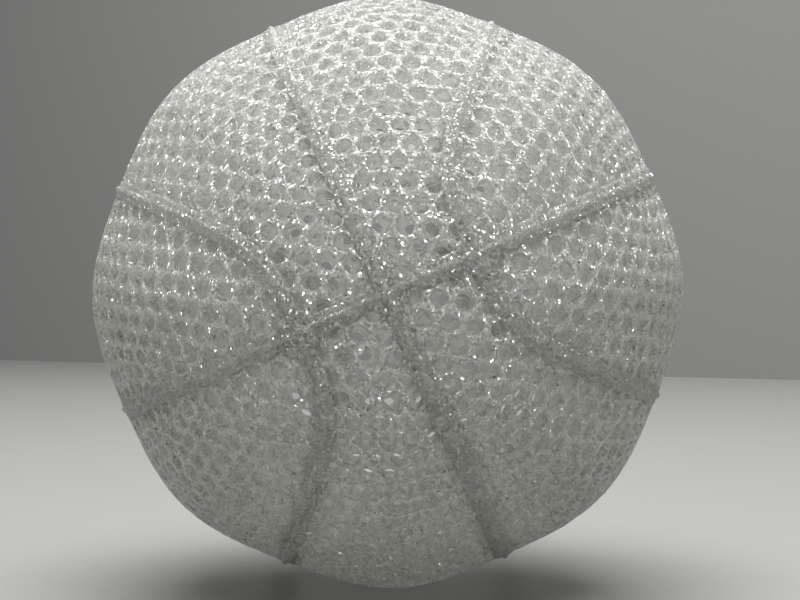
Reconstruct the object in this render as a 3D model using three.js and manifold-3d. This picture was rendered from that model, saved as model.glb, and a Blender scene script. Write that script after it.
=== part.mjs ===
// A printed lattice basketball, lying with one of its seam poles towards -Y.
// The hollow wall is divided where the ball divides itself: eight puffed panels, the seam ribs
// in the valleys between them, and the small solid junctions where two seams cross.
import * as THREE from "three";
import { mergeVertices } from "three/addons/utils/BufferGeometryUtils.js";
import Module from "manifold-3d";

// Sizes in millimetres, angles in degrees
const ballRadius = 120; // centre of the ball to the top of a puffed panel
const valleyDepth = 3.1; // how far the wall dips towards a seam
const puffReach = 22.5; // angle from a seam at which a panel is at its fullest
const wallThickness = 6.5;
const bandHalfWidth = 4; // solid strip that each seam runs on
const ribHalfWidth = 1.6; // raised bead along the middle of the strip
const ribHeight = 1.1;
const junctionRadius = 8;
const pieceGap = 0.3; // clearance between neighbouring pieces
const seamLean = 24; // the seams' turn about the pole axis, as the ball lies
const loopDistance = 17.2; // pole to the nearest point of a loop seam
const loopPower = 4.5; // how squarely a loop seam turns its corner
const ribStep = 7.5; // spacing of the stations along a rib
const outerDetail = 7; // subdivisions of the wall's outer and inner faces
const innerDetail = 5;

const wasm = await Module();
wasm.setup();

// The ball's own axes: the pole, and the two seams that cross there at right angles
const lean = THREE.MathUtils.degToRad(seamLean);
const pole = new THREE.Vector3(0, -1, 0);
const levelAxis = new THREE.Vector3(Math.cos(lean), 0, Math.sin(lean));
const uprightAxis = new THREE.Vector3(-Math.sin(lean), 0, Math.cos(lean));

// A direction from the ball's centre, by its angles from the pole along the two seams
function direction(level, upright) {
  const away = Math.min(Math.hypot(level, upright), 180);
  const turn = Math.atan2(upright, level);
  const angle = THREE.MathUtils.degToRad(away);
  return pole.clone().multiplyScalar(Math.cos(angle))
    .addScaledVector(levelAxis, Math.sin(angle) * Math.cos(turn))
    .addScaledVector(uprightAxis, Math.sin(angle) * Math.sin(turn));
}

// The same direction on the back half of the ball
function mirrored(point) {
  return point.clone().setY(-point.y);
}

// Seam centre lines

function arcAlong(levelSign, uprightSign, from, to, count) {
  const points = [];
  for (let i = 0; i <= count; i++) {
    const angle = from + (to - from) * i / count;
    points.push(direction(levelSign * angle, uprightSign * angle));
  }
  return points;
}

// Half of a loop seam, from its front crossing round the side of the ball to its back crossing
function loopHalf(levelSign, uprightSign, count) {
  const front = [];
  const farthest = 90 / Math.SQRT2;
  for (let i = 0; i <= count; i++) {
    const upright = farthest * i / count;
    const level = Math.pow(loopDistance ** loopPower + upright ** loopPower, 1 / loopPower);
    const shrink = Math.min(1, 90 / Math.hypot(level, upright));
    front.push(direction(levelSign * level * shrink, uprightSign * upright * shrink));
  }
  const back = front.slice(0, -1).reverse().map(mirrored);
  return evenlySpaced([...front, ...back]);
}

function evenlySpaced(points) {
  const curve = new THREE.CatmullRomCurve3(points);
  const turns = curve.getLength() / THREE.MathUtils.degToRad(ribStep);
  return curve.getSpacedPoints(Math.round(turns)).map((point) => point.normalize());
}

function stepsFor(angle) {
  return Math.max(2, Math.round(angle / ribStep));
}

const sideAngle = 180 - 2 * loopDistance;
const seams = {
  level_rib_front_right: arcAlong(1, 0, 0, loopDistance, stepsFor(loopDistance)),
  level_rib_right: arcAlong(1, 0, loopDistance, 180 - loopDistance, stepsFor(sideAngle)),
  level_rib_back_right: arcAlong(1, 0, 180 - loopDistance, 180, stepsFor(loopDistance)),
  level_rib_front_left: arcAlong(-1, 0, 0, loopDistance, stepsFor(loopDistance)),
  level_rib_left: arcAlong(-1, 0, loopDistance, 180 - loopDistance, stepsFor(sideAngle)),
  level_rib_back_left: arcAlong(-1, 0, 180 - loopDistance, 180, stepsFor(loopDistance)),
  upright_rib_top: arcAlong(0, 1, 0, 180, stepsFor(180)),
  upright_rib_bottom: arcAlong(0, -1, 0, 180, stepsFor(180)),
  loop_rib_right_upper: loopHalf(1, 1, 60),
  loop_rib_right_lower: loopHalf(1, -1, 60),
  loop_rib_left_upper: loopHalf(-1, 1, 60),
  loop_rib_left_lower: loopHalf(-1, -1, 60),
};

const junctions = {
  junction_front_pole: direction(0, 0),
  junction_back_pole: mirrored(direction(0, 0)),
  junction_front_right: direction(loopDistance, 0),
  junction_front_left: direction(-loopDistance, 0),
  junction_back_right: mirrored(direction(loopDistance, 0)),
  junction_back_left: mirrored(direction(-loopDistance, 0)),
};

// The wall

const loopLines = Object.keys(seams)
  .filter((name) => name.startsWith("loop"))
  .flatMap((name) => new THREE.CatmullRomCurve3(seams[name]).getSpacedPoints(120))
  .map((point) => point.normalize());

function angleToSeam(point) {
  const toLevel = Math.asin(Math.min(1, Math.abs(point.dot(uprightAxis))));
  const toUpright = Math.asin(Math.min(1, Math.abs(point.dot(levelAxis))));
  const nearest = Math.max(...loopLines.map((station) => station.dot(point)));
  const toLoop = Math.acos(Math.min(1, nearest));
  return THREE.MathUtils.radToDeg(Math.min(toLevel, toUpright, toLoop));
}

// Radius of the outer face: lowest in the seam valleys, rising smoothly to each panel's middle
function surfaceRadius(point) {
  const share = Math.min(1, angleToSeam(point) / puffReach);
  return ballRadius - valleyDepth * (1 + Math.cos(Math.PI * share)) / 2;
}

function solidFrom(geometry) {
  const bare = geometry.clone();
  bare.deleteAttribute("normal");
  bare.deleteAttribute("uv");
  const merged = mergeVertices(bare, 1e-4);
  return new wasm.Manifold(new wasm.Mesh({
    numProp: 3,
    vertProperties: new Float32Array(merged.attributes.position.array),
    triVerts: new Uint32Array(merged.index.array),
  }));
}

function geometryFrom(solid) {
  const mesh = solid.getMesh();
  const geometry = new THREE.BufferGeometry();
  geometry.setAttribute("position", new THREE.BufferAttribute(mesh.vertProperties, 3));
  geometry.setIndex(new THREE.BufferAttribute(mesh.triVerts, 1));
  geometry.computeVertexNormals();
  return geometry;
}

function moveVertices(geometry, place) {
  const position = geometry.attributes.position;
  const vertex = new THREE.Vector3();
  for (let i = 0; i < position.count; i++) {
    const moved = place(vertex.fromBufferAttribute(position, i));
    position.setXYZ(i, moved.x, moved.y, moved.z);
  }
  return geometry;
}

function wallFace(detail, depth) {
  const sphere = new THREE.IcosahedronGeometry(1, detail);
  return moveVertices(sphere, (vertex) => {
    const point = vertex.clone().normalize();
    return point.multiplyScalar(surfaceRadius(point) - depth);
  });
}

// A strip of wall along a seam, bent from a box: x goes across, y along and z outwards.
// offsets are the places across the strip, and heights how far each stands above the wall.
function strip(line, offsets, heights, depthBelow) {
  const across = offsets.length - 1;
  const along = line.length - 1;
  const box = new THREE.BoxGeometry(1, 1, 1, across, along, 1);
  return moveVertices(box, (vertex) => {
    const column = Math.round((vertex.x + 0.5) * across);
    const row = Math.round((vertex.y + 0.5) * along);
    const centre = line[row];
    const ahead = line[Math.min(row + 1, along)].clone().sub(line[Math.max(row - 1, 0)]);
    const sideways = ahead.cross(centre).normalize();
    const turn = offsets[column] / ballRadius;
    const point = centre.clone().multiplyScalar(Math.cos(turn))
      .addScaledVector(sideways, Math.sin(turn));
    const surface = surfaceRadius(point);
    return point.multiplyScalar(vertex.z > 0 ? surface + heights[column] : surface - depthBelow);
  });
}

// A round plug of wall, bent from a cylinder whose axis goes outwards
function plug(centre, radius, height, depthBelow) {
  const disc = new THREE.CylinderGeometry(1, 1, 1, 24, 1);
  const right = new THREE.Vector3().crossVectors(uprightAxis, centre).normalize();
  const up = new THREE.Vector3().crossVectors(right, centre);
  return moveVertices(disc, (vertex) => {
    const reach = Math.tan(radius / ballRadius);
    const point = centre.clone()
      .addScaledVector(right, vertex.x * reach)
      .addScaledVector(up, vertex.z * reach)
      .normalize();
    const surface = surfaceRadius(point);
    return point.multiplyScalar(vertex.y > 0 ? surface + height : surface - depthBelow);
  });
}

const cutHeight = 5; // how far a cutter stands out past the wall on each side
const cutHalfWidth = bandHalfWidth + pieceGap;
const ribOffsets = [-bandHalfWidth, -ribHalfWidth, 0, ribHalfWidth, bandHalfWidth];
const ribHeights = [0, 0, ribHeight, 0, 0];

const bandCutters = Object.values(seams).map((line) => solidFrom(
  strip(line, [-cutHalfWidth, cutHalfWidth], [cutHeight, cutHeight], wallThickness + cutHeight),
));
const junctionCutters = Object.values(junctions).map((centre) => solidFrom(
  plug(centre, junctionRadius + pieceGap, cutHeight, wallThickness + cutHeight),
));

// Materials: one clear flexible plastic, slightly denser looking where the wall is solid
const ballPlastic = { roughness: 0.35, metalness: 0 };
const latticeColor = 0xc9cbc4;
const seamColor = 0xb4b6af;
const junctionColor = 0xbfc1ba;

const ball = new THREE.Group();

function addPiece(name, geometry, color) {
  const material = new THREE.MeshStandardMaterial({ ...ballPlastic, color });
  const mesh = new THREE.Mesh(geometry, material);
  mesh.name = name;
  ball.add(mesh);
}

// Panels: what is left of the hollow wall between the seam bands

function panelName(centre) {
  const right = centre.dot(levelAxis) > 0;
  const upper = centre.dot(uprightAxis) > 0;
  const isLong = Math.abs(centre.dot(uprightAxis)) > Math.abs(centre.dot(levelAxis));
  if (isLong) {
    const place = upper ? (right ? "top" : "upper_left") : (right ? "lower_right" : "bottom");
    return `long_panel_${place}`;
  }
  const place = right ? (upper ? "upper_right" : "right") : (upper ? "left" : "lower_left");
  return `side_panel_${place}`;
}

function centreOf(solid) {
  const { min, max } = solid.boundingBox();
  return new THREE.Vector3().fromArray(min).add(new THREE.Vector3().fromArray(max));
}

const hollowBall = solidFrom(wallFace(outerDetail, 0))
  .subtract(solidFrom(wallFace(innerDetail, wallThickness)));
const allCutters = wasm.Manifold.union([...bandCutters, ...junctionCutters]);
for (const panel of hollowBall.subtract(allCutters).decompose()) {
  addPiece(panelName(centreOf(panel)), geometryFrom(panel), latticeColor);
}

// Seam ribs, each ending short of the junctions it runs between
const junctionSpace = wasm.Manifold.union(junctionCutters);
for (const [name, line] of Object.entries(seams)) {
  const rib = solidFrom(strip(line, ribOffsets, ribHeights, wallThickness));
  addPiece(name, geometryFrom(rib.subtract(junctionSpace)), seamColor);
}

for (const [name, centre] of Object.entries(junctions)) {
  addPiece(name, plug(centre, junctionRadius, ribHeight / 2, wallThickness), junctionColor);
}

export default ball;
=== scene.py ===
import math

import bmesh
import bpy
from mathutils import Matrix, Vector, noise


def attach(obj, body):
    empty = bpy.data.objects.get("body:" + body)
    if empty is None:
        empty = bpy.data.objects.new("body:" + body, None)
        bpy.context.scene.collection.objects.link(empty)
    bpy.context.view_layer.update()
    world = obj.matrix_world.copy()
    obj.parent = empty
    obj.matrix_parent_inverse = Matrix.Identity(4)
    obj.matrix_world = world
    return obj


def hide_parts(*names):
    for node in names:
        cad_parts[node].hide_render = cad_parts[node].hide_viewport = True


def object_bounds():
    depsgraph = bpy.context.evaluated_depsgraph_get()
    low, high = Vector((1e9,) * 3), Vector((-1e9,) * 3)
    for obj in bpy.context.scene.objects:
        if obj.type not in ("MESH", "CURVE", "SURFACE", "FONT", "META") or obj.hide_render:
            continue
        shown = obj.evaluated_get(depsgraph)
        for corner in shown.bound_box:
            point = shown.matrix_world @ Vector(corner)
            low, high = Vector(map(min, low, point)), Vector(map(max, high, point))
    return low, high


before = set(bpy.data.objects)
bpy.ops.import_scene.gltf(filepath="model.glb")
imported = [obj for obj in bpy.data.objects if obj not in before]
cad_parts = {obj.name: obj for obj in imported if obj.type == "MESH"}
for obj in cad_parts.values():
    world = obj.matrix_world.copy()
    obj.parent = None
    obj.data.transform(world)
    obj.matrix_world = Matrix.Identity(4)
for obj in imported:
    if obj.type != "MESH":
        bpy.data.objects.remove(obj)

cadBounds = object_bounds()
mm = 0.001

# The ball's own axes. Two seams cross at the front pole: one leans up to the right, and the
# other stands at right angles to it.
seamLean = math.radians(24)
pole = Vector((0, -1, 0))
levelAxis = Vector((math.cos(seamLean), 0, math.sin(seamLean)))
uprightAxis = Vector((-math.sin(seamLean), 0, math.cos(seamLean)))

ball = {
    "radius": (cadBounds[1].z - cadBounds[0].z) / 2,  # over the middle of a panel
    "valleyDepth": 3.1 * mm,  # how far the wall dips towards a seam
    "puffReach": 22.5,  # degrees from a seam to the fullest part of a panel
    "wall": 6.5 * mm,
    "loopDistance": 17.2,  # degrees from the pole to the nearest point of a loop seam
    "loopPower": 4.5,  # how squarely a loop seam turns its corner
}


class Wire:  # a node socket that can be used in sums
    def __init__(self, tree, socket=None):
        self.tree = tree
        self.socket = socket

    def node(self, kind, settings=None, sockets=None, out=0):
        made = self.tree.nodes.new(kind)
        for name, value in (settings or {}).items():
            if name == "stops":
                setStops(made.color_ramp, value)
            else:
                setattr(made, name, value)
        for key, value in (sockets or {}).items():
            for one in value if isinstance(value, list) else [value]:
                if isinstance(one, Wire):
                    one.feed(made, key)
                else:
                    made.inputs[key].default_value = one
        return Wire(self.tree, made.outputs[out] if made.outputs else None)

    def feed(self, node, key):
        self.tree.links.new(self.socket, node.inputs[key])

    def output(self, name):  # another output of the same node
        return Wire(self.tree, self.socket.node.outputs[name])

    def maths(self, operation, *others):
        return self.node("ShaderNodeMath", {"operation": operation}, dict(enumerate([self, *others])))

    def vector(self, operation, *others, out=0):
        return self.node("ShaderNodeVectorMath", {"operation": operation},
                         dict(enumerate([self, *others])), out)

    def dot(self, other):
        return self.vector("DOT_PRODUCT", other, out="Value")

    def length(self):
        return self.vector("LENGTH", out="Value")

    def scaled(self, factor):
        return self.node("ShaderNodeVectorMath", {"operation": "SCALE"}, {0: self, "Scale": factor})

    def __add__(self, other):
        return self.maths("ADD", other)

    __radd__ = __add__

    def __sub__(self, other):
        return self.maths("SUBTRACT", other)

    def __rsub__(self, other):
        return self.maths("MULTIPLY_ADD", -1.0, other)

    def __mul__(self, other):
        return self.maths("MULTIPLY", other)

    __rmul__ = __mul__

    def __truediv__(self, other):
        return self.maths("DIVIDE", other)

    def __rtruediv__(self, other):
        return self.node("ShaderNodeMath", {"operation": "DIVIDE"}, {0: other, 1: self})

    def __pow__(self, other):
        return self.maths("POWER", other)

    def __gt__(self, other):
        return self.maths("GREATER_THAN", other)

    def __lt__(self, other):
        return self.maths("LESS_THAN", other)


def setStops(ramp, stops):
    while len(ramp.elements) < len(stops):
        ramp.elements.new(1)
    for element, (place, colour) in zip(ramp.elements, stops):
        element.position = place
        element.color = colour


# Objects, and geometry trees with the pieces made by them

def plainName(node):  # long_panel_top becomes longPanelTop
    words = node.split("_")
    return words[0] + "".join(word.capitalize() for word in words[1:])


def addObject(name, data):
    made = bpy.data.objects.new(name, data)
    bpy.context.scene.collection.objects.link(made)
    return made


def wireObject(name, lines, closed=False):  # edges only, which a tree reads as curves
    wire = bmesh.new()
    for line in lines:
        stations = [wire.verts.new(point) for point in line]
        for before, after in zip(stations, stations[1:] + stations[:1] if closed else stations[1:]):
            wire.edges.new((before, after))
    mesh = bpy.data.meshes.new(name)
    wire.to_mesh(mesh)
    wire.free()
    return addObject(name, mesh)


socketKinds = {"number": "NodeSocketFloat", "whole": "NodeSocketInt", "object": "NodeSocketObject",
               "material": "NodeSocketMaterial", "vector": "NodeSocketVector"}


def newTree(name, inputs):
    tree = bpy.data.node_groups.new(name, "GeometryNodeTree")
    tree.interface.new_socket("Geometry", in_out="OUTPUT", socket_type="NodeSocketGeometry")
    for label, kind in inputs.items():
        tree.interface.new_socket(label, in_out="INPUT", socket_type=socketKinds[kind])
    return Wire(tree).node("NodeGroupInput")


def endTree(geometry, material):
    geometry = geometry.node("GeometryNodeRealizeInstances", sockets={"Geometry": geometry})
    geometry = geometry.node("GeometryNodeSetShadeSmooth", sockets={"Geometry": geometry})
    geometry = geometry.node("GeometryNodeSetMaterial", sockets={"Geometry": geometry, "Material": material})
    geometry.node("NodeGroupOutput", sockets={"Geometry": geometry})
    return geometry.tree


def makeWithTree(name, tree, values):
    piece = addObject(name, bpy.data.meshes.new(name))
    modifier = piece.modifiers.new("shape", "NODES")
    modifier.node_group = tree
    for item in tree.interface.items_tree:
        if item.in_out == "INPUT":
            modifier[item.identifier] = values[item.name]
    evaluated = piece.evaluated_get(bpy.context.evaluated_depsgraph_get())
    finished = bpy.data.meshes.new_from_object(evaluated)
    piece.modifiers.remove(modifier)
    piece.data = finished
    return piece


def randomNumber(start, low, high, seed):
    return start.node("FunctionNodeRandomValue", {"data_type": "FLOAT"}, {
        2: low, 3: high, "Seed": seed}, out=1)


def randomVector(start, seed):
    return start.node("FunctionNodeRandomValue", {"data_type": "FLOAT_VECTOR"}, {
        0: (-1, -1, -1), 1: (1, 1, 1), "Seed": seed})


# Seam lines, as directions from the ball's centre

def direction(level, upright):  # degrees from the front pole along the two pole seams
    away = math.radians(min(math.hypot(level, upright), 180))
    turn = math.atan2(upright, level)
    side = levelAxis * math.cos(turn) + uprightAxis * math.sin(turn)
    return pole * math.cos(away) + side * math.sin(away)


def mirrored(point):  # the same place on the back half
    return Vector((point.x, -point.y, point.z))


def evenly(points, spacing):  # the same line, with its stations a fixed angle apart
    travelled = [0]
    for before, after in zip(points, points[1:]):
        travelled.append(travelled[-1] + math.degrees(before.angle(after)))
    count = max(2, round(travelled[-1] / spacing))
    placed = []
    at = 0
    for step in range(count + 1):
        target = travelled[-1] * step / count
        while at < len(points) - 2 and travelled[at + 1] < target:
            at += 1
        share = (target - travelled[at]) / (travelled[at + 1] - travelled[at])
        placed.append(points[at].lerp(points[at + 1], share).normalized())
    return placed


def poleSeam(level, upright, start, end):
    steps = 200
    angles = [start + (end - start) * step / steps for step in range(steps + 1)]
    return [direction(level * angle, upright * angle) for angle in angles]


def loopSeam(levelSide, uprightSide):  # front crossing, round the side, to the back crossing
    steps = 400
    power = ball["loopPower"]
    front = []
    for step in range(steps + 1):
        upright = 90 / math.sqrt(2) * step / steps
        level = (ball["loopDistance"] ** power + upright ** power) ** (1 / power)
        shrink = min(1, 90 / math.hypot(level, upright))
        front.append(direction(levelSide * level * shrink, uprightSide * upright * shrink))
    return front + [mirrored(point) for point in reversed(front[:-1])]


near = ball["loopDistance"]
far = 180 - near
seams = {
    "level_rib_front_right": poleSeam(1, 0, 0, near),
    "level_rib_right": poleSeam(1, 0, near, far),
    "level_rib_back_right": poleSeam(1, 0, far, 180),
    "level_rib_front_left": poleSeam(-1, 0, 0, near),
    "level_rib_left": poleSeam(-1, 0, near, far),
    "level_rib_back_left": poleSeam(-1, 0, far, 180),
    "upright_rib_top": poleSeam(0, 1, 0, 180),
    "upright_rib_bottom": poleSeam(0, -1, 0, 180),
    "loop_rib_right_upper": loopSeam(1, 1),
    "loop_rib_right_lower": loopSeam(1, -1),
    "loop_rib_left_upper": loopSeam(-1, 1),
    "loop_rib_left_lower": loopSeam(-1, -1),
}
seamStations = [evenly(line, 1) for line in seams.values()]  # a degree apart


def dipAt(angle):  # how far the wall lies below the ball's radius, by its degrees from a seam
    share = min(1, angle / ball["puffReach"])
    return ball["valleyDepth"] * (1 + math.cos(math.pi * share)) / 2


def wallRadiusAt(outward):
    nearest = min(outward.angle(station) for line in seamStations for station in line)
    return ball["radius"] - dipAt(math.degrees(nearest))


def wallRadius(outward, seamWire):  # field: the wall's outer radius in a direction
    wire = outward.node("GeometryNodeObjectInfo", sockets={"Object": seamWire}).output("Geometry")
    seam = wire.node("GeometryNodeProximity", {"target_element": "EDGES"}, {
        "Target": wire, "Sample Position": outward.scaled(ball["radius"])}).output("Distance")
    angle = (seam / (2 * ball["radius"])).maths("ARCSINE") * math.degrees(2)
    share = (angle / ball["puffReach"]).maths("MINIMUM", 1.0)
    return ball["radius"] - (1 + (share * math.pi).maths("COSINE")) * (ball["valleyDepth"] / 2)


# Panels: a thick wall with a round hole in each of its six-sided cells

def cellSheet(start):  # the cells of one panel, as a sheet of flat faces
    sphere = start.node("GeometryNodeMeshIcoSphere", sockets={
        "Radius": ball["radius"], "Subdivisions": start.output("Cell detail")})
    turned = start.node("GeometryNodeTransform", sockets={
        "Geometry": sphere, "Rotation": start.output("Cell turn")})
    cells = start.node("GeometryNodeDualMesh", sockets={"Mesh": turned})
    outward = start.node("GeometryNodeInputPosition").vector("NORMALIZE")
    level = outward.dot(tuple(levelAxis))
    upright = outward.dot(tuple(uprightAxis))
    away = outward.dot(tuple(pole)).maths("ABSOLUTE").maths("ARCCOSINE") * math.degrees(1)
    tiny = 1e-9  # keeps the poles from dividing by nothing
    ring = (level * level + upright * upright + tiny) ** 0.5
    alongLevel = away * level.maths("ABSOLUTE") / ring
    alongUpright = away * upright.maths("ABSOLUTE") / ring
    power = ball["loopPower"]
    insideLoop = alongLevel ** power - alongUpright ** power - near ** power
    hair = 1e-4  # a cell centred on a seam belongs to its positive side
    outside = (
        (level + hair) * start.output("Level side") < 0
    ) + (
        (upright + hair) * start.output("Upright side") < 0
    ) + (
        insideLoop * start.output("Inside loop") < 0
    )
    return start.node("GeometryNodeDeleteGeometry", {"domain": "FACE", "mode": "ALL"}, {
        "Geometry": cells, "Selection": outside > 0.5})


cellInputs = {
    "Cell detail": "whole", "Cell turn": "vector", "Level side": "number", "Upright side": "number",
    "Inside loop": "number", "Seam wire": "object", "Material": "material", "Seed": "whole",
}
panelInputs = {
    **cellInputs, "Hole share": "number", "Hole variation": "number", "Hole drift": "number",
    "Rim share": "number", "Edge drop": "number", "Wall": "number", "Wobble": "number",
    "Wobble size": "number",
}


def panelTree():
    start = newTree("perforatedPanel", panelInputs)
    sheet = cellSheet(start)
    seed = start.output("Seed")
    # in each cell a ring of solid wall is kept, and what is inside it is taken away
    cut = start.node("GeometryNodeExtrudeMesh", {"mode": "FACES"}, {
        "Mesh": sheet, "Offset Scale": 0.0, "Individual": True})
    rim = start.node("GeometryNodeScaleElements", {"domain": "FACE"}, {
        "Geometry": cut, "Selection": cut.output("Top"), "Scale": start.output("Rim share")})
    cut = start.node("GeometryNodeExtrudeMesh", {"mode": "FACES"}, {
        "Mesh": rim, "Selection": cut.output("Top"), "Offset Scale": 0.0, "Individual": True})
    variation = start.output("Hole variation")
    size = randomNumber(start, variation * -1, variation, seed)
    drift = randomVector(start, seed + 1).scaled(start.output("Hole drift"))
    centre = start.node("GeometryNodeInputPosition").vector("ADD", drift)
    hole = start.node("GeometryNodeScaleElements", {"domain": "FACE"}, {
        "Geometry": cut, "Selection": cut.output("Top"), "Center": centre,
        "Scale": (size + start.output("Hole share")) / start.output("Rim share")})
    marked = start.node("GeometryNodeStoreNamedAttribute", {"data_type": "FLOAT", "domain": "POINT"}, {
        "Geometry": hole, "Name": "holeEdge", "Value": cut.output("Top")})
    ring = start.node("GeometryNodeDeleteGeometry", {"domain": "FACE", "mode": "ONLY_FACE"}, {
        "Geometry": marked, "Selection": cut.output("Top")})
    # the wall's thickness, in two steps so that the rims stay crisp
    inward = start.node("GeometryNodeInputPosition").vector("NORMALIZE").scaled(-1.0)
    halfWall = start.output("Wall") * 0.5
    deep = start.node("GeometryNodeExtrudeMesh", {"mode": "FACES"}, {
        "Mesh": ring, "Offset": inward, "Offset Scale": halfWall, "Individual": False})
    deep = start.node("GeometryNodeExtrudeMesh", {"mode": "FACES"}, {
        "Mesh": deep, "Selection": deep.output("Top"), "Offset": inward, "Offset Scale": halfWall,
        "Individual": False})
    inner = start.node("GeometryNodeFlipFaces", sockets={"Mesh": deep})
    both = start.node("GeometryNodeJoinGeometry", sockets={"Geometry": [ring, inner]})
    closed = start.node("GeometryNodeMergeByDistance", sockets={"Geometry": both, "Distance": 0.01 * mm})
    smooth = start.node("GeometryNodeSubdivisionSurface", sockets={"Mesh": closed, "Level": 1})
    # the bars between the holes are rounded, the wall is puffed, and a print is never quite even
    place = start.node("GeometryNodeInputPosition")
    outward = place.vector("NORMALIZE")
    depth = ball["radius"] - place.length()
    edge = start.node("GeometryNodeInputNamedAttribute", {"data_type": "FLOAT"}, {"Name": "holeEdge"})
    depth = depth + edge * start.output("Edge drop") * (1 - depth * 2 / start.output("Wall"))
    puffed = outward.scaled(wallRadius(outward, start.output("Seam wire")) - depth)
    uneven = start.node("ShaderNodeTexNoise", sockets={
        "Vector": place, "Scale": 1 / start.output("Wobble size"), "Detail": 1.0}, out="Color")
    uneven = uneven.vector("SUBTRACT", (0.5, 0.5, 0.5)).scaled(start.output("Wobble"))
    placed = start.node("GeometryNodeSetPosition", sockets={
        "Geometry": smooth, "Position": puffed.vector("ADD", uneven)})
    return endTree(placed, start.output("Material"))


def cellTurn():  # turns the cells so that two five-sided ones straddle each pole along the upright seam
    probe = bmesh.new()
    bmesh.ops.create_icosphere(probe, subdivisions=1, radius=1)
    corners = [corner.co.normalized() for corner in probe.verts]
    probe.free()
    first = corners[0]
    second = min(corners[1:], key=first.angle)
    middle = (first + second).normalized()
    along = (second - first).normalized()
    own = Matrix((along, middle.cross(along), middle)).transposed()
    wanted = Matrix((uprightAxis, pole.cross(uprightAxis), pole)).transposed()
    return (wanted @ own.inverted()).to_euler()


panels = {  # which side of each pole seam, and inside or outside the loop seams
    "long_panel_top": (1, 1, -1),
    "long_panel_upper_left": (-1, 1, -1),
    "long_panel_bottom": (-1, -1, -1),
    "long_panel_lower_right": (1, -1, -1),
    "side_panel_upper_right": (1, 1, 1),
    "side_panel_right": (1, -1, 1),
    "side_panel_left": (-1, 1, 1),
    "side_panel_lower_left": (-1, -1, 1),
}
panel = {
    "Cell detail": 5,  # subdivisions of the ball that give its cells
    "Cell turn": cellTurn(),
    "Hole share": 0.68,  # of its cell's width
    "Hole variation": 0.04,
    "Hole drift": 0.25 * mm,
    "Rim share": 0.86,
    "Edge drop": 0.9 * mm,  # rounds the bars between the holes
    "Wall": ball["wall"],
    "Wobble": 0.6 * mm,
    "Wobble size": 4 * mm,
}


def panelSides(name):
    levelSide, uprightSide, insideLoop = panels[name]
    return {"Level side": float(levelSide), "Upright side": float(uprightSide),
            "Inside loop": float(insideLoop)}


def makePanels(seamWire, material):
    tree = panelTree()
    for seed, name in enumerate(panels):
        piece = makeWithTree(plainName(name), tree, {
            **panel, **panelSides(name), "Seam wire": seamWire, "Material": material, "Seed": seed})
        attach(piece, "root")
        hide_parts(name)
        print("panel", piece.name, len(piece.data.polygons), "faces")


# Seam ribs: a solid band of wall with a cross-ribbed bead along its middle

rib = {
    "bandHalfWidth": 3.9 * mm,
    "bandRise": 0.05 * mm,  # above the tops of the lattice's bars
    "edgeRound": 0.8 * mm,
    "beadHalfWidth": 1.3 * mm,
    "beadHeight": 0.7 * mm,
    "junctionRadius": 8 * mm,
    "endsInside": 0.9,  # how far out the ribs end, as a share of the junctions' radius
    "acrossSteps": 16,
    "Station gap": 0.55 * mm,
    "Rung pitch": 1.1 * mm,
    "Rung height": 0.3 * mm,
    "Rung foot": 0.12 * mm,  # rungs cross only what stands higher than this
    "Rung jitter size": 3.3 * mm,
    "Lump size": 2.2 * mm,
    "Lump height": 0.5 * mm,
}
ribInputs = {
    "Seam": "object", "Profile": "object", "Station gap": "number", "Rung pitch": "number",
    "Rung height": "number", "Rung foot": "number", "Rung jitter size": "number",
    "Lump size": "number", "Lump height": "number", "Seam wire": "object", "Material": "material",
}


def bandHeight(across):  # how far the band and its bead stand above the wall, across the seam
    share = min(1, abs(across) / rib["beadHalfWidth"])
    return rib["beadHeight"] * math.cos(math.pi / 2 * share) + rib["bandRise"]


def ribProfile():  # the band's section: x outwards from the wall's surface, y across the seam
    half = rib["bandHalfWidth"]
    soft = rib["edgeRound"]
    points = []
    for step in range(rib["acrossSteps"] + 1):
        across = half * (2 * step / rib["acrossSteps"] - 1)
        turned = max(0, abs(across) - half + soft) / soft
        points.append((bandHeight(across) - soft * (1 - math.sqrt(1 - turned ** 2)), across, 0))
    deep = -ball["wall"]
    points += [(deep + soft, half, 0), (deep, half - soft, 0)]
    points += [(deep, soft - half, 0), (deep + soft, -half, 0)]
    return wireObject("ribProfile", [points], closed=True)


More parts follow.
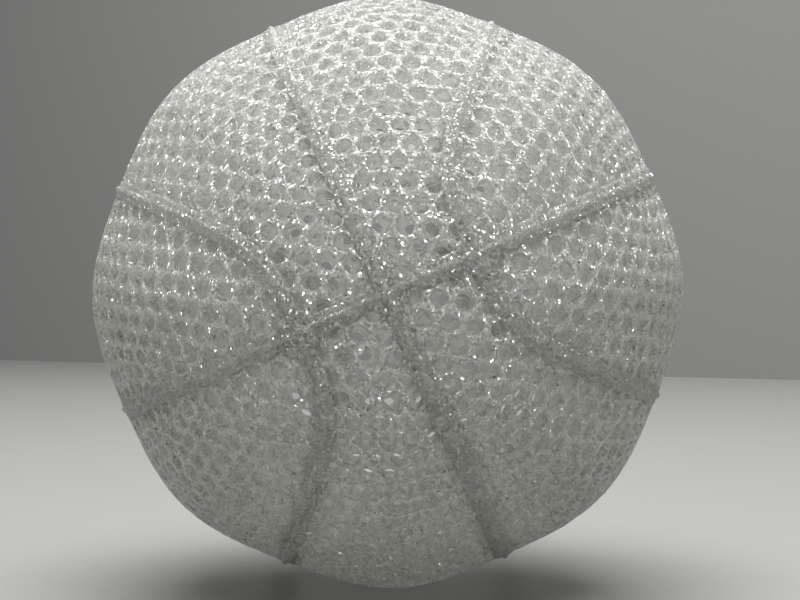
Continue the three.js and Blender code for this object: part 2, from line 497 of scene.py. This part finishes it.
def ribTree():
    start = newTree("seamRib", ribInputs)
    seam = start.node("GeometryNodeObjectInfo", sockets={"Object": start.output("Seam")})
    line = start.node("GeometryNodeMeshToCurve", sockets={"Mesh": seam.output("Geometry")})
    line = start.node("GeometryNodeResampleCurve", {"mode": "LENGTH"}, {
        "Curve": line, "Length": start.output("Station gap")})
    outward = start.node("GeometryNodeInputPosition").vector("NORMALIZE")
    line = start.node("GeometryNodeSetCurveNormal", {"mode": "FREE"}, {"Curve": line, "Normal": outward})
    travelled = start.node("GeometryNodeSplineParameter").output("Length")
    line = start.node("GeometryNodeStoreNamedAttribute", {"data_type": "FLOAT", "domain": "POINT"}, {
        "Geometry": line, "Name": "along", "Value": travelled})
    profile = start.node("GeometryNodeObjectInfo", sockets={"Object": start.output("Profile")})
    profile = start.node("GeometryNodeMeshToCurve", sockets={"Mesh": profile.output("Geometry")})
    band = start.node("GeometryNodeCurveToMesh", sockets={
        "Curve": line, "Profile Curve": profile, "Fill Caps": True})
    # the band follows the puffed wall, and small rungs cross its bead
    place = start.node("GeometryNodeInputPosition")
    outward = place.vector("NORMALIZE")
    height = place.length() - ball["radius"]
    along = start.node("GeometryNodeInputNamedAttribute", {"data_type": "FLOAT"}, {"Name": "along"})
    jitter = start.node("ShaderNodeTexNoise", sockets={
        "Vector": place, "Scale": 1 / start.output("Rung jitter size")})
    wave = ((along / start.output("Rung pitch") + jitter) * (2 * math.pi)).maths("SINE")
    rung = wave * start.output("Rung height") * (height > start.output("Rung foot"))
    swell = start.node("ShaderNodeTexNoise", sockets={
        "Vector": place, "Scale": 1 / start.output("Lump size"), "Detail": 1.0})
    lump = (swell - 0.5) * start.output("Lump height")
    radius = wallRadius(outward, start.output("Seam wire")) + height + rung + lump
    placed = start.node("GeometryNodeSetPosition", sockets={
        "Geometry": band, "Position": outward.scaled(radius)})
    return endTree(placed, start.output("Material"))


def makeRibs(seamWire, material):
    tree = ribTree()
    profile = ribProfile()
    spacing = 0.25  # degrees
    inside = rib["endsInside"] * rib["junctionRadius"]
    cut = round(math.degrees(inside / ball["radius"]) / spacing)
    sizes = {label: rib[label] for label in ribInputs if label in rib}
    for name, line in seams.items():
        stations = [point * ball["radius"] for point in evenly(line, spacing)[cut:-cut]]
        seam = wireObject("seamLine", [stations])
        piece = makeWithTree(plainName(name), tree, {
            **sizes, "Seam": seam, "Profile": profile, "Seam wire": seamWire, "Material": material})
        bpy.data.objects.remove(seam)
        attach(piece, "root")
        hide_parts(name)
        print("rib", piece.name, len(piece.data.polygons), "faces")
    bpy.data.objects.remove(profile)


# Junctions: the round solid areas where two beads cross

junction = {
    "rings": 22,
    "spokes": 96,
    "rimDepth": 1 * mm,
    "rimSpread": 0.5 * mm,
}
junctions = {
    "junction_front_pole": direction(0, 0),
    "junction_back_pole": mirrored(direction(0, 0)),
    "junction_front_right": direction(near, 0),
    "junction_front_left": direction(-near, 0),
    "junction_back_right": mirrored(direction(near, 0)),
    "junction_back_left": mirrored(direction(-near, 0)),
}


def makeJunction(name, centre, material):
    spokes = junction["spokes"]
    rim = rib["junctionRadius"]
    uprightWay = (uprightAxis - centre * uprightAxis.dot(centre)).normalized()
    levelWay = uprightWay.cross(centre)
    shape = bmesh.new()

    def pointAt(reach, spoke, depth=None):  # on the crossing beads, or at a depth in the wall
        turn = 2 * math.pi * spoke / spokes
        x = reach * math.cos(turn)
        y = reach * math.sin(turn)
        outward = (centre * ball["radius"] + levelWay * x + uprightWay * y).normalized()
        if depth is None:
            lump = noise.noise(outward * ball["radius"] / rib["Lump size"]) * rib["Lump height"] / 2
            depth = -max(bandHeight(x), bandHeight(y)) - lump
        return shape.verts.new(outward * (wallRadiusAt(outward) - depth))

    rows = [[pointAt(rim * ring / junction["rings"], spoke) for spoke in range(spokes)]
            for ring in range(1, junction["rings"] + 1)]
    for depth in (junction["rimDepth"], ball["wall"]):
        rows.append([pointAt(rim + junction["rimSpread"], spoke, depth) for spoke in range(spokes)])
    top = pointAt(0, 0)
    bottom = pointAt(0, 0, ball["wall"])
    for spoke in range(spokes):
        after = (spoke + 1) % spokes
        shape.faces.new((top, rows[0][spoke], rows[0][after]))
        for inner, outer in zip(rows, rows[1:]):
            shape.faces.new((inner[spoke], outer[spoke], outer[after], inner[after]))
        shape.faces.new((rows[-1][spoke], bottom, rows[-1][after]))
    bmesh.ops.recalc_face_normals(shape, faces=shape.faces)
    for face in shape.faces:
        face.smooth = True
    mesh = bpy.data.meshes.new(name)
    shape.to_mesh(mesh)
    shape.free()
    mesh.materials.append(material)
    return addObject(name, mesh)


def makeJunctions(material):
    for name, centre in junctions.items():
        piece = makeJunction(plainName(name), centre, material)
        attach(piece, "root")
        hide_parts(name)
    print("junctions", len(junctions))


# Strings of plastic that the printer left across the holes

strings = {
    "Share": 0.26,  # of the holes at mid height, for each of the strands below
    "Rise": 0.24,  # more of them towards the top of the ball
    "Thickness": 0.4 * mm,
    "Reach": 3.1 * mm,  # from the middle of the hole to where a strand meets its wall
    "Sag": 0.6 * mm,
    "Bend": 1.6,  # how much farther off centre the middle of a strand is than its ends
    "Depth": 0.7 * mm,  # below the wall's outer surface
    "Smallest": 0.9,
    "Largest": 1.15,
}
strandOffsets = (0.0, 0.35, -0.5, 0.62)  # from the middle of the hole, in reaches
strandSteps = 6
strandSides = 5
stringInputs = {**cellInputs, **{label: "number" for label in strings}}


def oneStrand(start, offset):
    reach = start.output("Reach") * math.sqrt(1 - offset ** 2)
    side = start.output("Reach") * offset
    ends = [start.node("ShaderNodeCombineXYZ", sockets={0: reach * sign, 1: side}) for sign in (-1, 1)]
    middle = start.node("ShaderNodeCombineXYZ", sockets={
        1: side * start.output("Bend"), 2: start.output("Sag") * -1})
    strand = start.node("GeometryNodeCurveQuadraticBezier", sockets={
        "Resolution": strandSteps, "Start": ends[0], "Middle": middle, "End": ends[1]})
    section = start.node("GeometryNodeCurvePrimitiveCircle", sockets={
        "Resolution": strandSides, "Radius": start.output("Thickness") * 0.5})
    return start.node("GeometryNodeCurveToMesh", sockets={
        "Curve": strand, "Profile Curve": section, "Fill Caps": True})


def stringTree():
    start = newTree("holeStrings", stringInputs)
    sheet = cellSheet(start)
    outward = start.node("GeometryNodeInputPosition").vector("NORMALIZE")
    middle = outward.scaled(wallRadius(outward, start.output("Seam wire")) - start.output("Depth"))
    share = start.output("Share") + outward.dot((0, 0, 1)) * start.output("Rise")
    layers = []
    for layer, offset in enumerate(strandOffsets):
        seed = start.output("Seed") + 10 * layer
        chosen = start.node("FunctionNodeRandomValue", {"data_type": "BOOLEAN"}, {
            "Probability": share, "Seed": seed}, out=3)
        points = start.node("GeometryNodeMeshToPoints", {"mode": "FACES"}, {
            "Mesh": sheet, "Selection": chosen, "Position": middle})
        turned = start.node("FunctionNodeAxesToRotation", {"primary_axis": "Z", "secondary_axis": "X"}, {
            "Primary Axis": outward, "Secondary Axis": randomVector(start, seed + 1)})
        size = randomNumber(start, start.output("Smallest"), start.output("Largest"), seed + 2)
        layers.append(start.node("GeometryNodeInstanceOnPoints", sockets={
            "Points": points, "Instance": oneStrand(start, offset), "Rotation": turned, "Scale": size}))
    strands = start.node("GeometryNodeJoinGeometry", sockets={"Geometry": layers})
    return endTree(strands, start.output("Material"))


def makeStrings(seamWire, material):
    tree = stringTree()
    cells = {label: panel[label] for label in ("Cell detail", "Cell turn")}
    for index, name in enumerate(panels):
        piece = makeWithTree(plainName(name).replace("Panel", "Strings"), tree, {
            **strings, **cells, **panelSides(name), "Seam wire": seamWire, "Material": material,
            "Seed": 100 * index})
        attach(piece, "root")
        print("strings", piece.name, len(piece.data.polygons), "faces")


# Materials: clear, slightly frosted plastic that lets light through the wall

plastic = {
    "tint": (0.97, 0.975, 0.94),
    "clearShare": 0.45,
    "gloss": 1,
    "bending": 1.5,
    "smoothest": 0.08,
    "roughest": 0.26,
    "roughFrom": 0.35,  # the smoothest and the roughest places, by the patches that they lie in
    "roughTo": 0.65,
    "grainSize": 1 * mm,
    "streakLength": 3.4 * mm,  # print layers lie square to the pole axis
    "streakWidth": 0.8 * mm,
    "cloudSize": 16 * mm,
    "grainBump": 0.7,  # shares of the bumps, and below of the lighter and darker specks in the colour; the grain and streak specks are painted sparkle (painted glints and painted shade), and the cloud is the plastic's own uneven tone
    "streakBump": 0.5,
    "bumpHeight": 0.3 * mm,
    "grainPaintedSparkle": 0.65,
    "streakPaintedSparkle": 0.35,
    "cloudSpots": 0.1,
    "facetLength": 0.85 * mm,  # small flat places, each leaning its own way
    "facetWidth": 0.3 * mm,
    "facetTilt": 2,
    "glintMirror": 0.4,  # how mirror-like the facets are that glint
    # the glint facets' colour is lifted, a painted highlight, and the dark facets' colour is dropped,
    # painted shade
    "paintedGlintLift": 0.3,
    "paintedShadeDrop": 0.2,
    "skinFrom": 113.5 * mm,  # rough outside this radius, and smoother down in the holes
    "skinTo": 116 * mm,
    "skinInHoles": 0.25,
    "skinForGlints": 0.6,
}
latticeLook = {"through": 0.45, "glints": 0.26, "darks": 0.08}  # shares of the light and of the facets
seamLook = {"through": 0.65, "glints": 0.26, "darks": 0.08}
paintedSparkleShades = ((0.33, 0.35), (0.4, 0.72), (0.46, 0.93), (0.55, 0.97), (0.61, 1))  # from painted shade on the dark specks to painted glints


def newMaterial(name, settings):
    material = bpy.data.materials.new(name)
    material.use_nodes = True
    shader = material.node_tree.nodes["Principled BSDF"]
    for socket, value in settings.items():
        shader.inputs[socket].default_value = value
    return material, Wire(material.node_tree), shader


def shaded(share):  # the plastic's colour, darkened
    return (*(channel * share for channel in plastic["tint"]), 1)


def clearPlastic(name, look):
    material, wire, shader = newMaterial(name, {
        "IOR": plastic["bending"], "Transmission Weight": plastic["clearShare"],
        "Specular IOR Level": plastic["gloss"]})
    place = wire.node("ShaderNodeTexCoord").output("Object")
    skin = wire.node("ShaderNodeMapRange", {"interpolation_type": "SMOOTHSTEP"}, {
        "Value": place.length(), "From Min": plastic["skinFrom"], "From Max": plastic["skinTo"],
        "To Min": plastic["skinInHoles"], "To Max": 1.0})

    def layered(length, width):  # long round the pole axis and narrow along it
        return place.vector("MULTIPLY", (1 / length, 1 / width, 1 / length))

    streak = wire.node("ShaderNodeTexNoise", sockets={
        "Vector": layered(plastic["streakLength"], plastic["streakWidth"]), "Scale": 1.0, "Detail": 2.0})
    grain = wire.node("ShaderNodeTexNoise", sockets={
        "Vector": place, "Scale": 1 / plastic["grainSize"], "Detail": 2.0})
    cloud = wire.node("ShaderNodeTexNoise", sockets={
        "Vector": place, "Scale": 1 / plastic["cloudSize"], "Detail": 1.0})
    # each facet leans its own way, and by chance it glints or looks dark: a glint is partly a real
    # mirror-like reflection and partly a painted highlight in the colour, and the dark look is painted shade
    cell = wire.node("ShaderNodeTexVoronoi", {"feature": "F1"}, {
        "Vector": layered(plastic["facetLength"], plastic["facetWidth"]), "Scale": 1.0}, out="Color")
    lean = cell.vector("SUBTRACT", (0.5, 0.5, 0.5)).scaled(skin * plastic["facetTilt"])
    facet = wire.node("ShaderNodeNewGeometry").output("Normal").vector("ADD", lean).vector("NORMALIZE")
    chance = wire.node("ShaderNodeTexWhiteNoise", sockets={"Vector": cell})
    onSkin = skin > plastic["skinForGlints"]
    glint = (chance < look["glints"]) * onSkin
    dark = (chance > 1 - look["darks"]) * onSkin
    mirror = glint * plastic["glintMirror"]
    mirror.feed(shader, "Metallic")
    bump = wire.node("ShaderNodeBump", sockets={
        "Height": (streak * plastic["streakBump"] + grain * plastic["grainBump"]) * skin, "Strength": 1.0,
        "Distance": plastic["bumpHeight"], "Normal": facet})
    bump.feed(shader, "Normal")
    # painted sparkle: the grain and streak specks and the glint and dark facets are light and shade painted
    # into the colour; the cloud is the plastic's own uneven tone
    toneAndPaintedSparkle = (grain * plastic["grainPaintedSparkle"] + streak * plastic["streakPaintedSparkle"] - 0.5) * skin
    toneAndPaintedSparkle = toneAndPaintedSparkle + 0.5 + (cloud - 0.5) * plastic["cloudSpots"]
    toneAndPaintedSparkle = toneAndPaintedSparkle + glint * plastic["paintedGlintLift"] - dark * plastic["paintedShadeDrop"]
    colour = wire.node("ShaderNodeValToRGB", {
        "stops": [(level, shaded(share)) for level, share in paintedSparkleShades]}, {"Fac": toneAndPaintedSparkle})
    colour.feed(shader, "Base Color")
    rough = wire.node("ShaderNodeMapRange", sockets={
        "Value": (cloud + streak) * 0.5, "From Min": plastic["roughFrom"], "From Max": plastic["roughTo"],
        "To Min": plastic["smoothest"], "To Max": plastic["roughest"]})
    rough.feed(shader, "Roughness")
    through = wire.node("ShaderNodeBsdfTranslucent", sockets={"Color": shaded(1), "Normal": bump})
    surface = Wire(wire.tree, shader.outputs["BSDF"])
    both = wire.node("ShaderNodeMixShader", sockets={
        0: (1 - mirror) * look["through"], 1: surface, 2: through})
    both.feed(material.node_tree.nodes["Material Output"], "Surface")
    print("material", name)
    return material


# Stage: a pale table with a grey wall behind it, and soft light from above

stage = {
    "wallDistance": 2,  # metres behind the ball
    "halfWidth": 4,
    "wallHeight": 3,
    "tableColour": (0.28, 0.28, 0.276, 1),
    "tableRoughness": 0.5,
    "wallColour": (0.25, 0.25, 0.246, 1),
    "wallRoughness": 0.8,
    "wallTurn": 30,  # degrees; its foot comes nearer towards the right
    "surround": 0.3,
    "cameraDistance": 6,  # ball radii
    "focal": 2.189,  # picture widths
    "aside": 0.39,  # degrees that the camera looks to the right of the ball's centre
    "below": 0.245,
}
lamps = {
    "ceilingLight": {"place": (0, -0.1, 2), "size": 2, "power": 72},
    "deskLight": {"place": (0, -0.3, 1.2), "size": 1, "power": 9},
    "backLight": {"place": (0, 1.5, 1.8), "size": 1.2, "power": 16},
}


def flatPlane(name, corners, colour, roughness):
    mesh = bpy.data.meshes.new(name)
    mesh.from_pydata(corners, [], [(0, 1, 2, 3)])
    mesh.materials.append(newMaterial(name, {"Base Color": colour, "Roughness": roughness})[0])
    plane = addObject(name, mesh)
    return plane


def makeStage():
    low = -ball["radius"]
    back = stage["wallDistance"]
    wide = stage["halfWidth"]
    high = stage["wallHeight"]
    flatPlane("table", [(-wide, -wide, low), (wide, -wide, low), (wide, wide, low), (-wide, wide, low)],
              stage["tableColour"], stage["tableRoughness"])
    wall = flatPlane("backWall", [(-wide, 0, low), (wide, 0, low), (wide, 0, high), (-wide, 0, high)],
                     stage["wallColour"], stage["wallRoughness"])
    turn = Matrix.Rotation(math.radians(-stage["wallTurn"]), 4, "Z")
    wall.data.transform(Matrix.Translation((0, back, 0)) @ turn)
    world = bpy.data.worlds.new("studio")
    world.use_nodes = True
    world.node_tree.nodes["Background"].inputs["Color"].default_value = [stage["surround"]] * 3 + [1]
    bpy.context.scene.world = world
    print("stage")


def makeLights():
    for name, lamp in lamps.items():
        light = bpy.data.lights.new(name, "AREA")
        light.size = lamp["size"]
        light.energy = lamp["power"]
        holder = addObject(name, light)
        holder.location = lamp["place"]
        holder.rotation_euler = Vector(lamp["place"]).to_track_quat("Z", "Y").to_euler()
    print("lights", len(lamps))


def makeCamera():
    camera = addObject("camera", bpy.data.cameras.new("camera"))
    camera.location = pole * stage["cameraDistance"] * ball["radius"]
    camera.rotation_euler = (math.radians(90 - stage["below"]), 0, math.radians(-stage["aside"]))
    camera.data.lens = camera.data.sensor_width * stage["focal"]
    bpy.context.scene.camera = camera
    print("camera")


latticePlastic = clearPlastic("latticePlastic", latticeLook)
seamPlastic = clearPlastic("seamPlastic", seamLook)
seamWire = wireObject("seamWire", [[point * ball["radius"] for point in line] for line in seamStations])
makePanels(seamWire, latticePlastic)
makeRibs(seamWire, seamPlastic)
makeJunctions(seamPlastic)
makeStrings(seamWire, latticePlastic)
bpy.data.objects.remove(seamWire)
makeStage()
makeLights()
makeCamera()
bpy.context.scene.view_settings.view_transform = "Standard"
